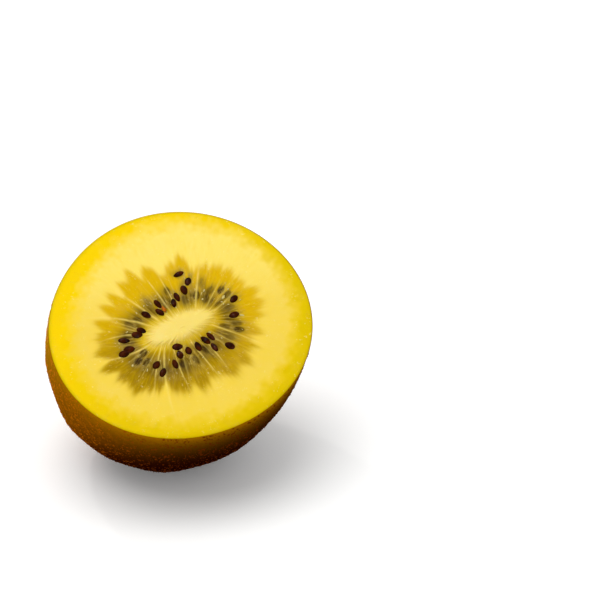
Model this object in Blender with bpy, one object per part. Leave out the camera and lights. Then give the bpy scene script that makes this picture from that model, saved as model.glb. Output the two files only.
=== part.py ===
"""Half of a golden kiwi fruit, cut across its middle, lying on its skin with the cut face turned up and forward.

The fruit is one grown body. It is modelled round its own axis, in millimetres turned to metres, with the cut
face at height 0 and the stem end below it. Then it is leant to the slope at which a half comes to rest, and
the small patch of skin that it lies on is pressed flat. The centre of that patch is the origin, and +Z is up.
"""

import math

import bmesh
import bpy
import numpy as np
from mathutils import Matrix

MM = 0.001
NAME = "golden_kiwi_half"

# Size and lie of the fruit
CUT_RADIUS = 26.5 * MM
HALF_LENGTH = 35.7 * MM
LEAN = math.radians(29.7)
REST_DENT = 0.35 * MM

# Outline of the cut, as shares of its radius: a slight oval and a slight egg shape
OVAL, OVAL_TURN = 0.035, math.radians(41.8)
EGG, EGG_TURN = 0.009, math.radians(-24.2)

# Side view of the skin: a full shoulder, and a stem end a little off the axis of the cut
FULLNESS = 2.39
STEM_SHIFT_X, STEM_SHIFT_Y = -2.7 * MM, 0.8 * MM

# Stem scar: a dimple, a felted ring and the dry button where the stalk broke off
DIMPLE_DEPTH, DIMPLE_SPREAD = 1.6 * MM, 5.0 * MM
RING_HEIGHT, RING_RADIUS, RING_SPREAD = 0.75 * MM, 3.5 * MM, 0.8 * MM
BUTTON_HEIGHT, BUTTON_RADIUS, BUTTON_EDGE = 1.1 * MM, 1.9 * MM, 0.25 * MM

# Pale core in the cut: an oval along its own line
CORE_TURN = math.radians(20)
CORE_LONG, CORE_SHORT = 7.3 * MM, 2.7 * MM
CORE_DROP = 1.2 * MM
CORE_RISE = 0.35 * MM

# Seed chambers round the core: a sunken star with one point for each chamber, and pale ribs between them
CHAMBERS = 32
STAR_SHARE, STAR_POINT, STAR_BLUR = 0.5, 0.045, 0.035
STAR_SINK = 0.3 * MM
RIB_RISE = 0.22 * MM
RIB_POWER = 4
RIM_SHARE, RIM_DROP = 0.96, 0.15 * MM

# Seeds, in two rows round the core, with a share of them sunk out of sight
SEED_DRAW = 91169
SEED_SPREAD = 0.42
OUTER_ROW, OUTER_ROW_SPREAD = 0.235, 0.04
INNER_ROW, INNER_ROW_SPREAD = 0.13, 0.02
INNER_ROW_SHARE = 0.78
SPREAD_LIMIT = 1.6
SUNK_SHARE = 0.36
SEED_LONG, SEED_WIDE, SEED_THICK = 2.25 * MM, 1.4 * MM, 1.15 * MM
SEED_POINT = 0.32
SEED_PROUD = 0.38 * MM
SEED_SIDES, SEED_RINGS = 8, 5

# Three seeds that the knife dragged along: turn round the core, share of the way out, turn off the ray
DRAGGED_SEEDS = ((248, 0.04, -87), (60, 0.30, -20), (67, 0.38, -71))

# Rings of the mesh, from the middle of the core to the stem
CORE_RINGS = ((0.4, 40), (0.8, 80))
FACE_RINGS = (
    (0.0, 80), (0.05, 160), (0.13, 160), (0.22, 160), (0.31, 160), (0.39, 160),
    (0.45, 160), (0.50, 160), (0.56, 160), (0.66, 160), (0.82, 160), (0.96, 160), (1.0, 160),
)
SKIN_SIDES, SKIN_RINGS = 80, 16
SKIN_END = math.radians(73)
SCAR_SIDES = 40
SCAR_RADII = (5.8, 4.8, 4.1, 3.5, 2.9, 2.3, 1.9, 1.6, 0.8)

# Materials: name, linear colour, roughness
FINISHES = (
    ("skin", (0.34, 0.17, 0.015), 0.55),
    ("flesh", (0.90, 0.66, 0.10), 0.30),
    ("seed_chambers", (0.66, 0.42, 0.012), 0.28),
    ("core", (0.95, 0.76, 0.26), 0.35),
    ("stem_scar", (0.10, 0.035, 0.008), 0.85),
    ("seeds", (0.022, 0.006, 0.003), 0.18),
)
SKIN, FLESH, STAR, CORE, SCAR, SEED = range(len(FINISHES))


def cut_radius(angle):
    """Radius of the cut: the mean radius, plus a wave of two and a wave of three round it."""
    oval = OVAL * np.cos(2 * (angle - OVAL_TURN))
    egg = EGG * np.cos(3 * (angle - EGG_TURN))
    return CUT_RADIUS * (1 + oval + egg)


def core_edge(turn):
    """The point of the core's oval edge at a turn round it."""
    along, across = CORE_LONG * np.cos(turn), CORE_SHORT * np.sin(turn)
    x = along * math.cos(CORE_TURN) - across * math.sin(CORE_TURN)
    y = along * math.sin(CORE_TURN) + across * math.cos(CORE_TURN) - CORE_DROP
    return x, y


def face_place(turn, share):
    """A point of the cut: share 0 is the core's edge and 1 the rim, in a straight ray between the two."""
    core_x, core_y = core_edge(turn)
    angle = turn + CORE_TURN
    rim = cut_radius(angle)
    x = core_x + (rim * np.cos(angle) - core_x) * share
    y = core_y + (rim * np.sin(angle) - core_y) * share
    return x, y


def step(value, width):
    """A soft step from 0 to 1 as the value passes 0."""
    return 0.5 + 0.5 * np.tanh(value / width)


def face_height(turn, share):
    """Relief of the cut: raised core, sunken star of chambers, ribs between them, and a rim that rounds off."""
    wave = -np.cos(CHAMBERS * turn)
    star = step(STAR_SHARE + STAR_POINT * wave - share, STAR_BLUR)
    outside_core = step(share - 0.03, 0.02)
    sink = -STAR_SINK * star * outside_core
    rib = RIB_RISE * ((1 - wave) / 2) ** RIB_POWER * star * outside_core
    core = CORE_RISE * (1 - outside_core)
    over_rim = np.maximum(share - RIM_SHARE, 0) / (1 - RIM_SHARE)
    return sink + rib + core - RIM_DROP * over_rim**2


def ring_turns(sides):
    """Even turns round a ring."""
    return np.arange(sides) * (2 * math.pi / sides)


def core_ring(scale, sides):
    """A ring inside the core: its oval edge drawn in towards the middle."""
    x, y = core_edge(ring_turns(sides))
    height = np.full(sides, CORE_RISE)
    return np.stack((x * scale, (y + CORE_DROP) * scale - CORE_DROP, height), axis=1)


def face_ring(share, sides):
    """A ring of the cut at one share of the way from the core to the rim."""
    turn = ring_turns(sides)
    x, y = face_place(turn, share)
    return np.stack((x, y, face_height(turn, share)), axis=1)


def skin_place(angle, slope):
    """A point of the skin: slope 0 is the rim and a quarter turn the stem. Depth over length and radius over
    the cut's radius lie on a superellipse, the outline turns round and the axis shifts as the depth grows."""
    depth = math.sin(slope) ** (2 / FULLNESS)
    radius = (cut_radius(angle) * (1 - depth) + CUT_RADIUS * depth) * math.cos(slope)
    x = radius * np.cos(angle) + STEM_SHIFT_X * depth
    y = radius * np.sin(angle) + STEM_SHIFT_Y * depth
    scar = scar_relief(CUT_RADIUS * math.cos(slope))
    drop = RIM_DROP * (1 - depth)
    return np.stack((x, y, np.full_like(x, scar - drop - HALF_LENGTH * depth)), axis=1)


def scar_relief(radius):
    """Relief at the stem, along the axis and into the fruit: the dimple, less the felted ring and the button."""
    dimple = DIMPLE_DEPTH * math.exp(-((radius / DIMPLE_SPREAD) ** 2))
    ring = RING_HEIGHT * math.exp(-(((radius - RING_RADIUS) / RING_SPREAD) ** 2))
    button = BUTTON_HEIGHT * float(step(BUTTON_RADIUS - radius, BUTTON_EDGE))
    return dimple - ring - button


def skin_ring(slope, sides):
    """A ring of the skin. Its angles start where those of the cut's rim do."""
    return skin_place(ring_turns(sides) + CORE_TURN, slope)


def fruit_rings():
    """All rings from the core to the stem, each with the material of the band that ends at it."""
    rings = [(core_ring(scale, sides), CORE) for scale, sides in CORE_RINGS]
    for share, sides in FACE_RINGS:
        finish = CORE if share < 0.04 else STAR if share <= STAR_SHARE else FLESH
        rings.append((face_ring(share, sides), finish))
    for row in range(1, SKIN_RINGS + 1):
        rings.append((skin_ring(SKIN_END * row / SKIN_RINGS, SKIN_SIDES), SKIN))
    for radius in SCAR_RADII:
        slope = math.acos(radius * MM / CUT_RADIUS)
        finish = SCAR if radius < 4.5 else SKIN
        rings.append((skin_ring(slope, SCAR_SIDES), finish))
    return rings


def join_rings(bm, inner, outer, finish):
    """Faces between two rings, the second with as many points as the first, twice as many or half as many."""
    sides = min(len(inner), len(outer))
    step_in, step_out = len(inner) // sides, len(outer) // sides
    for i in range(sides):
        a = [inner[(i * step_in + k) % len(inner)] for k in range(step_in + 1)]
        b = [outer[(i * step_out + k) % len(outer)] for k in range(step_out + 1)]
        if step_in == step_out:
            corners = [(a[0], b[0], b[1]), (a[0], b[1], a[1])]
        elif step_out == 2:
            corners = [(a[0], b[0], b[1]), (a[0], b[1], a[1]), (a[1], b[1], b[2])]
        else:
            corners = [(a[0], b[0], a[1]), (a[1], b[0], b[1]), (a[1], b[1], a[2])]
        for corner in corners:
            bm.faces.new(corner).material_index = finish


def close_ring(bm, ring, point, finish, turned):
    """A fan of faces from a ring to one point."""
    middle = bm.verts.new(point)
    for i, here in enumerate(ring):
        ahead = ring[(i + 1) % len(ring)]
        corner = (middle, ahead, here) if turned else (middle, here, ahead)
        bm.faces.new(corner).material_index = finish


def press_flat(bm):
    """Cut off what lies below the resting dent, fill the cut, and give the centre of the flat patch."""
    floor = min(vertex.co.z for vertex in bm.verts) + REST_DENT
    geometry = bm.verts[:] + bm.edges[:] + bm.faces[:]
    cut = bmesh.ops.bisect_plane(
        bm, geom=geometry, plane_co=(0, 0, floor), plane_no=(0, 0, -1), clear_outer=True, dist=1e-7
    )
    edges = [item for item in cut["geom_cut"] if isinstance(item, bmesh.types.BMEdge)]
    for vertex in {vertex for edge in edges for vertex in edge.verts}:
        vertex.co.z = floor
    patch = bmesh.ops.contextual_create(bm, geom=edges)["faces"][0]
    patch.material_index = SKIN
    patch.normal_update()
    if patch.normal.z > 0:
        patch.normal_flip()
    return patch.calc_center_median()


def fruit_object(finishes):
    """The fruit without its seeds, and the move that brings things made on the cut to their place on it."""
    lean = Matrix.Rotation(LEAN, 4, "X")
    bm = bmesh.new()
    rings = fruit_rings()
    rows = [[bm.verts.new(point) for point in points] for points, _ in rings]
    close_ring(bm, rows[0], (0, -CORE_DROP, CORE_RISE), CORE, False)
    for (inner, outer), (_, finish) in zip(zip(rows, rows[1:]), rings[1:]):
        join_rings(bm, inner, outer, finish)
    stem = (STEM_SHIFT_X, STEM_SHIFT_Y, scar_relief(0) - HALF_LENGTH)
    close_ring(bm, rows[-1], stem, SCAR, True)
    bmesh.ops.transform(bm, matrix=lean, verts=bm.verts)
    move = Matrix.Translation(-press_flat(bm))
    bmesh.ops.transform(bm, matrix=move, verts=bm.verts)
    bmesh.ops.triangulate(bm, faces=bm.faces)
    mesh = bpy.data.meshes.new(NAME)
    bm.to_mesh(mesh)
    bm.free()
    for finish in finishes[:SEED]:
        mesh.materials.append(finish)
    mesh.shade_smooth()
    fruit = bpy.data.objects.new(NAME, mesh)
    bpy.context.scene.collection.objects.link(fruit)
    return fruit, move @ lean


def seed_places():
    """Turn round the core, share of the way out and turn off the ray of each seed that shows. The outer row
    has one seed a chamber, and the inner row has one in most chambers away from the ends of the long core."""
    draw = np.random.default_rng(SEED_DRAW)
    chamber = np.arange(CHAMBERS) + 0.5
    pitch = 2 * math.pi / CHAMBERS

    def row(middle, spread):
        turn = (chamber + draw.uniform(-SEED_SPREAD, SEED_SPREAD, CHAMBERS)) * pitch
        off = draw.standard_normal(CHAMBERS).clip(-SPREAD_LIMIT, SPREAD_LIMIT)
        return turn, middle + spread * off

    outer_turn, outer_share = row(OUTER_ROW, OUTER_ROW_SPREAD)
    inner_turn, inner_share = row(INNER_ROW, INNER_ROW_SPREAD)
    chance = INNER_ROW_SHARE * np.abs(np.sin(inner_turn)) ** 1.5
    kept = draw.uniform(0, 1, CHAMBERS) < chance
    shown = draw.uniform(0, 1, 2 * CHAMBERS) >= SUNK_SHARE
    tilt = draw.uniform(-14, 14, 2 * CHAMBERS)
    turn = np.concatenate((outer_turn, inner_turn))
    share = np.concatenate((outer_share, inner_share))
    shown[CHAMBERS:] &= kept
    places = [(turn[i], share[i], math.radians(tilt[i])) for i in np.flatnonzero(shown)]
    dragged = [(math.radians(a), share, math.radians(b)) for a, share, b in DRAGGED_SEEDS]
    return places + dragged


def seed_mesh(finish):
    """One seed: a flattened ball, drawn to a blunt point at its +X end."""
    bm = bmesh.new()
    bmesh.ops.create_uvsphere(bm, u_segments=SEED_SIDES, v_segments=SEED_RINGS, radius=0.5)
    bmesh.ops.rotate(bm, verts=bm.verts, matrix=Matrix.Rotation(math.pi / 2, 3, "Y"))
    for vertex in bm.verts:
        narrow = 1 - SEED_POINT * max(vertex.co.x, 0) * 2
        vertex.co.x *= SEED_LONG
        vertex.co.y *= SEED_WIDE * narrow
        vertex.co.z *= SEED_THICK * narrow
    mesh = bpy.data.meshes.new("seed")
    bm.to_mesh(mesh)
    bm.free()
    mesh.materials.append(finish)
    mesh.shade_smooth()
    return mesh


def add_seeds(fruit, place, finish):
    """Lay a seed at each place, its point to the core, and fuse them all to the fruit."""
    mesh = seed_mesh(finish)
    group = bpy.data.collections.new("seeds")
    bpy.context.scene.collection.children.link(group)
    for turn, share, tilt in seed_places():
        x, y = face_place(turn, share)
        out_x, out_y = face_place(turn, share + 0.01)
        ray = math.atan2(y - out_y, x - out_x)
        height = float(face_height(turn, share)) + SEED_PROUD - SEED_THICK / 2
        seed = bpy.data.objects.new("seed", mesh)
        seed.matrix_world = place @ Matrix.Translation((x, y, height)) @ Matrix.Rotation(ray + tilt, 4, "Z")
        group.objects.link(seed)
    union = fruit.modifiers.new("seeds", "BOOLEAN")
    union.operation = "UNION"
    union.operand_type = "COLLECTION"
    union.solver = "EXACT"
    union.material_mode = "TRANSFER"
    union.collection = group
    bpy.context.view_layer.update()
    fused = bpy.data.meshes.new_from_object(fruit.evaluated_get(bpy.context.evaluated_depsgraph_get()))
    fruit.modifiers.clear()
    fruit.data = fused
    for seed in list(group.objects):
        bpy.data.objects.remove(seed, do_unlink=True)
    bpy.data.collections.remove(group)


def make_finish(name, colour, roughness):
    """A Principled material of one colour and roughness."""
    finish = bpy.data.materials.new(name)
    finish.use_nodes = True
    shader = finish.node_tree.nodes["Principled BSDF"]
    shader.inputs["Base Color"].default_value = (*colour, 1)
    shader.inputs["Roughness"].default_value = roughness
    shader.inputs["Metallic"].default_value = 0
    finish.diffuse_color = (*colour, 1)
    return finish


def main():
    for thing in list(bpy.data.objects):
        bpy.data.objects.remove(thing, do_unlink=True)
    finishes = [make_finish(*values) for values in FINISHES]
    fruit, place = fruit_object(finishes)
    add_seeds(fruit, place, finishes[SEED])


main()
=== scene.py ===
"""The looks of half a golden kiwi fruit: its cut flesh, seeds, skin, skin dots, hairs and stem scar.

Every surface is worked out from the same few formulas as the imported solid, in the fruit's own axes: X and Y
lie in the cut and Z is the axis of the fruit, with the cut at height 0 and the stem end below it. The
function settle() turns and moves points from there to the frame.

Turn is an angle round the pale core. Share is the part of the way from the core's edge, 0, to the rim of the
cut, 1. Slope is 0 at the rim and a quarter turn at the stem.
"""

import math

import bpy
import numpy as np
from bpy.props import FloatProperty, FloatVectorProperty, IntProperty, PointerProperty
from mathutils import Matrix, Vector


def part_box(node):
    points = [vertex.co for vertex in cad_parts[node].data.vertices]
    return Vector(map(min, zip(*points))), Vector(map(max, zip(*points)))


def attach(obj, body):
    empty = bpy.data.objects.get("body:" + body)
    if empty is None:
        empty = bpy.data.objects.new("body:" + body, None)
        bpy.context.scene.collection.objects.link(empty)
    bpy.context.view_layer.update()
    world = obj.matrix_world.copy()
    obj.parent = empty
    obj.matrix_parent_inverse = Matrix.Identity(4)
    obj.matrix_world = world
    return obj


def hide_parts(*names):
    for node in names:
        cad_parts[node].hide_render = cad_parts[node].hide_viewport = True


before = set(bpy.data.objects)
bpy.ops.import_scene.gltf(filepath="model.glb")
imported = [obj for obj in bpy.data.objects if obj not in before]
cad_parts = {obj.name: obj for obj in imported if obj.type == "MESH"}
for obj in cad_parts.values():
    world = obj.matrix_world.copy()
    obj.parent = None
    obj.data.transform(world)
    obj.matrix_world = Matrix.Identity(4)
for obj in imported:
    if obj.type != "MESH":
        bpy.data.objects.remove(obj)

bl_info = {
    "name": "Golden kiwi half",
    "version": (1, 0, 0),
    "blender": (4, 5, 0),
    "location": "3D View > Sidebar > Kiwi",
    "description": "Builds the cut golden kiwi fruit around its packed solid",
    "category": "Add Mesh",
}

MM = 0.001
FULL_TURN = 2 * math.pi
NODE = "golden_kiwi_half"
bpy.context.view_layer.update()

# The fruit's form, as in the solid
CUT_RADIUS = 26.5 * MM
HALF_LENGTH = 35.7 * MM
LEAN = math.radians(29.7)
OVAL, OVAL_TURN = 0.035, math.radians(41.8)
EGG, EGG_TURN = 0.009, math.radians(-24.2)
FULLNESS = 2.39
STEM_SHIFT_X, STEM_SHIFT_Y = -2.7 * MM, 0.8 * MM
DIMPLE_DEPTH, DIMPLE_SPREAD = 1.6 * MM, 5.0 * MM
RING_HEIGHT, RING_RADIUS, RING_SPREAD = 0.75 * MM, 3.5 * MM, 0.8 * MM
BUTTON_HEIGHT, BUTTON_RADIUS, BUTTON_EDGE = 1.1 * MM, 1.9 * MM, 0.25 * MM
LUMP_HEIGHT, LUMP_WAVE = 0.09 * MM, 13 * MM
CORE_TURN = math.radians(20)
CORE_LONG, CORE_SHORT = 7.3 * MM, 2.7 * MM
CORE_DROP = 1.2 * MM
CORE_RISE = 0.35 * MM
CHAMBERS = 32
STAR_SINK = 0.3 * MM
RIM_SHARE, RIM_DROP = 0.96, 0.15 * MM

# Painted shade on the skin: it is painted brown on the side of the fruit that lies down, and darkest deep in
# that side. Both are soft steps in how far that way a point lies, seen from a middle on the fruit's axis. Low
# down in front more painted shade turns it umber, and next to the cut a painted glow stands for the flesh
# shining through it.
SHADE_WAY = np.array((0.35, -0.55, -0.75))
SHADE_MIDDLE = -0.45 * HALF_LENGTH
PAINTED_BROWN_START, PAINTED_BROWN_BLUR = -0.55, 0.3
PAINTED_DARK_START, PAINTED_DARK_BLUR = 0.25, 0.25
UMBER_SHADE_HEIGHT, UMBER_SHADE_BLUR, UMBER_SHADE_SIDE_BLUR = 12 * MM, 4 * MM, 5 * MM
RIM_GLOW, RIM_GLOW_DEPTH = 0.8, 2.9 * MM

# Seeds, in the same places as in the solid: two rows round the core, about SEED_RING from its middle, and
# three that the knife dragged along, each as its turn, its share and its turn off the ray
SEED_DRAW = 91169
SEED_SPREAD = 0.42
OUTER_ROW, OUTER_ROW_SPREAD = 0.235, 0.04
INNER_ROW, INNER_ROW_SPREAD = 0.13, 0.02
INNER_ROW_SHARE = 0.78
SPREAD_LIMIT = 1.6
SUNK_SHARE = 0.36
SEED_LONG, SEED_WIDE, SEED_THICK = 2.25 * MM, 1.4 * MM, 1.15 * MM
SEED_POINT = 0.2
SEED_PROUD = 0.38 * MM
SEED_RING = 8 * MM
POCKET_DEPTH = 0.16 * MM
FLESH_GAP = 0.02 * MM
DRAGGED_SEEDS = ((248, 0.04, -87), (60, 0.30, -20), (67, 0.38, -71))

# Star of seed chambers, in shares of the way from core to rim. It reaches out most at one turn, and at
# another its lobes are longest and its edge is sharpest. The long strands cut wedges into its edge.
STAR_DRAW = 7
STAR_LOBES = 29
STAR_REACH, STAR_REACH_SPREAD, STAR_VALLEY = 0.55, 0.03, 0.445
STAR_LONG, STAR_LONG_TURN, STAR_CLEAR_TURN = 0.025, math.radians(215), math.radians(100)
STAR_WEDGE, STAR_WEDGE_SPREAD = 0.055, 0.05
STAR_BLUR, STAR_SOFT, STAR_FINE = 0.017, 0.03, 0.005

# Other zones of the cut: the core's colour, which lies a little to one side of its oval, the grey gel among
# the seeds, the saturated moat round the core, and the saturated rim inside the skin
CORE_BLUR = 0.65 * MM
CORE_SWELL, CORE_SWELL_TURN = 0.5 * MM, math.radians(115)
GEL_SHARE, GEL_SHIFT, GEL_SPREAD = 0.183, 0.055, 0.105
MOAT_GAP, MOAT_SPREAD = 0.7 * MM, 1.1 * MM
RIM_START, RIM_WAVE, RIM_SPREAD = 0.828, 0.036, 0.175

# Pale strands that stand out: turn at the core in degrees, share at the end, width over the common one, and
# how far the strand bends, in degrees for a share of 1
LONG_STRANDS = (
    (226, 0.72, 1.5, 15), (270, 0.45, 1.0, 4), (317, 0.54, 1.2, -8), (128, 0.6, 1.7, 28), (113, 0.53, 1.6, 8),
    (90, 0.41, 1.0, 6), (80, 0.42, 0.8, 7), (53, 0.52, 1.4, -6), (7, 0.31, 1.3, 13), (149, 0.42, 1.2, 30),
    (189, 0.45, 1.3, -15), (219, 0.46, 1.0, 11), (241, 0.48, 0.8, 15), (288, 0.42, 0.8, -15),
)

# Loose bits of torn flesh, and a rust-red scrap of torn seed coat, that lie on the cut
BIT_SIZE = (0.5 * MM, 0.22 * MM, 0.1 * MM)
BIT_SHARES = (0.06, 0.36)
SCRAP_X, SCRAP_Y, SCRAP_TURN = -2.75 * MM, 3.4 * MM, math.radians(-75)
SCRAP_SIZE = (1.3 * MM, 0.75 * MM, 0.4 * MM)

# Stem end: the stump's size, how far its middle hole and its edge go in, and the ring in which felt grows
STUMP_RADIUS, STUMP_RISE, STUMP_GROOVE = 1.85 * MM, 0.08 * MM, 0.07 * MM
PITH_RADIUS, PITH_DEPTH, STUMP_FOOT = 0.4 * MM, 0.35 * MM, -0.6 * MM
FELT_RING = (2.2 * MM, 4.6 * MM)

# Half the width of a hair and of a fibre of the felt, and the heights above which dots, hairs and felt grow,
# clear of the table
HAIR_RADIUS, FELT_RADIUS = 0.022 * MM, 0.03 * MM
DOT_FLOOR, HAIR_FLOOR, FELT_FLOOR = 0.4 * MM, 1.2 * MM, 0.3 * MM

# The camera's view, from a fit to the outlines of the cut and the skin in the photograph: it looks down 28
# degrees, from 14 degrees to the left of the cut's slope. The middle of the cut stands at these pixels.
VIEW_AZIMUTH, VIEW_HEIGHT, VIEW_DISTANCE = math.radians(-13.94), math.radians(28), 0.48
VIEW_PIXELS, CUT_PIXEL_X, CUT_PIXEL_Y = 600, 180.9, 322.2
SENSOR = 36

# Width and place of the wide lamp overhead, and of the small one behind that gives the glints
KEY_WIDTH, KEY_PLACE = 1.0, (-0.28, -0.12, 1.05)
GLINT_WIDTH, GLINT_PLACE = 0.05, (-0.3, 0.55, 0.9)


def linear(text):
    """Linear red, green and blue of an sRGB hex colour such as #FED802."""
    parts = [int(text[i : i + 2], 16) / 255 for i in (1, 3, 5)]
    return tuple(c / 12.92 if c <= 0.04045 else ((c + 0.055) / 1.055) ** 2.4 for c in parts)


def colour(name, description, text):
    """A colour property whose default is an sRGB hex colour."""
    return FloatVectorProperty(
        name=name, description=description, default=linear(text), size=3, min=0, max=1, subtype="COLOR"
    )


def length(name, description, millimetres):
    """A length property whose default is given in millimetres."""
    return FloatProperty(
        name=name, description=description, default=millimetres * MM, min=0, precision=5, unit="LENGTH"
    )


class KiwiCutSettings(bpy.types.PropertyGroup):
    """Sizes and colours of the cut face."""

    flesh: colour("Flesh", "Pale outer flesh", "#F4DC6C")
    # Painted shade: the outer flesh is painted darker on all but its top side, which faces the light.
    flesh_painted_shade: colour("Side flesh", "Outer flesh but for its palest side", "#EBCD53")
    # Mottling, which is also laid as painted shade on the low side of the cut.
    flesh_mottle_and_shade: colour("Deep flesh", "Mottling of the outer flesh", "#EBCC38")
    rim: colour("Rim", "Saturated flesh just inside the skin", "#F0CC00")
    # Painted shade: the rim is painted darker and greener on its side away from the light.
    rim_painted_shade: colour("Low rim", "Greener rim on the side away from the light", "#D8BA00")
    rim_green: colour("Rim edge", "Thin edge of the flesh at the skin", "#CEB200")
    star: colour("Star", "Clear flesh of the seed chambers", "#D6AC00")
    # Painted shade: the seed chambers are painted darker on the low side, away from the light.
    star_painted_shade: colour("Low star", "Seed chambers on the side away from the light", "#967500")
    star_pale: colour("Star streaks", "Paler streaks in the seed chambers", "#E4BE00")
    gel: colour("Gel", "Grey gel round the seeds", "#573F00")
    wisp: colour("Wisps", "Pale clouds of fine strands in the gel", "#B09440")
    film: colour("Film", "Greyish film close round the seeds", "#88722A")
    moat: colour("Moat", "Saturated flesh just outside the core", "#D6B400")
    core: colour("Core", "Pale core", "#EDD77C")
    ray: colour("Rays", "Pale strands between the chambers", "#EFD46A")
    # Painted glints: pale flecks of torn cells, painted lighter where they would catch the light.
    fleck_glint: colour("Flecks", "Torn cells that catch the light", "#F6E8A0")
    bit: colour("Bits", "Loose bits of torn flesh", "#CDBB76")
    sunk: colour("Sunk seeds", "Seeds that show through the flesh", "#331E03")
    seed: colour("Seeds", "Seed coat", "#1F0600")
    seed_warm: colour("Warm seeds", "Redder patches of the seed coat", "#4A1A00")
    scrap: colour("Scrap", "Torn scrap of seed coat", "#B86004")
    rays: IntProperty(name="Rays", description="Faint strands from the core", default=46, min=0)
    strand: length("Strand width", "Width of a pale strand", 0.24)
    bits: IntProperty(name="Bits", description="Loose pale bits of torn flesh", default=36, min=0)


class KiwiSkinSettings(bpy.types.PropertyGroup):
    """Sizes and colours of the skin."""

    gold: colour("Gold", "Skin where it is thin and ripe", "#D2A20C")
    # Painted glow: this colour lights the gold skin next to the cut, as if the flesh shone through it.
    painted_glow: colour("Glow", "Gold skin that the flesh shines through, next to the cut", "#E6BE10")
    olive: colour("Olive", "Greener patches of the skin", "#A48406")
    # Painted shade: the brown, shade and umber colours darken the skin on the side that lies down and low in
    # front.
    brown: colour("Brown", "Skin on the side of the fruit", "#764200")
    shade: colour("Shade", "Darkest skin, low on the side that lies down", "#1A0100")
    umber_shade: colour("Umber", "Reddish brown skin low on the fruit", "#4A0A00")
    # Painted glow: this colour lights the brown skin next to the cut, as if the flesh shone through it.
    by_rim: colour("By the rim", "Brown skin that the flesh shines through, next to the cut", "#A06800")
    dot: colour("Dots", "Raised corky dots", "#F0A540")
    dot_rust: colour("Rust dots", "Redder ones of the raised dots", "#D07818")
    # Painted shade: the brown and shaded dot colours darken the dots as the skin is darkened.
    dot_painted_brown: colour("Brown dots", "Dots on the brown side", "#B46202")
    dot_painted_shade: colour("Shaded dots", "Dots in the darkest skin", "#542002")
    hair: colour("Hairs", "Short dry hairs", "#8A5410")
    felt: colour("Felt", "Rust felt round the stem scar", "#7A3C0C")
    wood: colour("Button", "Dry wood of the stalk's stump", "#9A7040")
    thickness: length("Thickness", "Thickness of the skin", 0.09)
    dots: IntProperty(name="Dots", description="Raised dots on the skin", default=8000, min=0)
    dot_radius: length("Dot radius", "Mean radius of a dot", 0.14)
    felt_fibres: IntProperty(name="Felt", description="Fibres round the stem scar", default=1800, min=0)
    hairs: IntProperty(name="Hairs", description="Short hairs on the skin", default=1600, min=0)
    hair_length: length("Hair length", "Mean length of a hair", 0.45)


class KiwiStageSettings(bpy.types.PropertyGroup):
    """Table, light and camera."""

    floor: colour("Table", "White table", "#FAFAF9")
    floor_glow: FloatProperty(name="Table glow", description="Light from the table", default=0.12, min=0)
    sky: FloatProperty(name="Sky", description="Strength of the light from overhead", default=0.72, min=0)
    horizon: FloatProperty(name="Horizon", description="Strength of the side light", default=0.42, min=0)
    key_power: FloatProperty(
        name="Key", description="Power of the wide lamp", default=6.6, min=0, unit="POWER"
    )
    glint_power: FloatProperty(
        name="Glint", description="Power of the small lamp", default=0.6, min=0, unit="POWER"
    )
    lens: FloatProperty(name="Lens", description="Focal length on 36 mm", default=144.8, unit="CAMERA")


def cut_radius(angle):
    """Radius of the cut: the mean radius, plus a wave of two and a wave of three round it."""
    oval = OVAL * np.cos(2 * (angle - OVAL_TURN))
    egg = EGG * np.cos(3 * (angle - EGG_TURN))
    return CUT_RADIUS * (1 + oval + egg)


def core_edge(turn):
    """The point of the core's oval edge at a turn round it."""
    along, across = CORE_LONG * np.cos(turn), CORE_SHORT * np.sin(turn)
    x = along * math.cos(CORE_TURN) - across * math.sin(CORE_TURN)
    y = along * math.sin(CORE_TURN) + across * math.cos(CORE_TURN) - CORE_DROP
    return x, y


def face_place(turn, share):
    """A point of the cut, in a straight ray from the core's edge at share 0 to the rim at share 1. Below 0
    the core's oval is drawn in, to its middle at share -1."""
    core_x, core_y = core_edge(turn)
    angle = turn + CORE_TURN
    rim = cut_radius(angle)
    out = np.maximum(share, 0)
    scale = 1 + np.minimum(share, 0)
    x = core_x * scale + (rim * np.cos(angle) - core_x) * out
    y = (core_y + CORE_DROP) * scale - CORE_DROP + (rim * np.sin(angle) - core_y) * out
    return x, y


def soft_step(value, width):
    """A soft step from 0 to 1 as the value passes 0."""
    return 0.5 + 0.5 * np.tanh(value / width)


def turned_off(turn, middle):
    """Signed angle from a middle, between minus and plus half a turn."""
    return (turn - middle + math.pi) % FULL_TURN - math.pi


def waves(points, wavelength, seed, count=20):
    """An uneven smooth field of about unit height: a sum of cosines of seeded direction, length and phase."""
    draw = np.random.default_rng(seed)
    way = draw.normal(size=(count, points.shape[-1]))
    way /= np.linalg.norm(way, axis=1, keepdims=True)
    pitch = wavelength * draw.uniform(0.7, 1.4, count)
    phase = draw.uniform(0, FULL_TURN, count)
    return np.cos(points @ (way * (FULL_TURN / pitch)[:, None]).T + phase).sum(axis=-1) * math.sqrt(2 / count)


def round_waves(turn, low, high, seed, count=16):
    """An uneven field of about unit height round the core: a sum of whole numbers of waves in a full turn."""
    draw = np.random.default_rng(seed)
    number = draw.integers(low, high + 1, count)
    phase = draw.uniform(0, FULL_TURN, count)
    return np.cos(turn[..., None] * number + phase).sum(axis=-1) * math.sqrt(2 / count)


def scar_relief(radius):
    """Relief at the stem, along the axis and into the fruit: the dimple, less the felted ring and the
    button."""
    dimple = DIMPLE_DEPTH * np.exp(-((radius / DIMPLE_SPREAD) ** 2))
    ring = RING_HEIGHT * np.exp(-(((radius - RING_RADIUS) / RING_SPREAD) ** 2))
    return dimple - ring - BUTTON_HEIGHT * soft_step(BUTTON_RADIUS - radius, BUTTON_EDGE)


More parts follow.
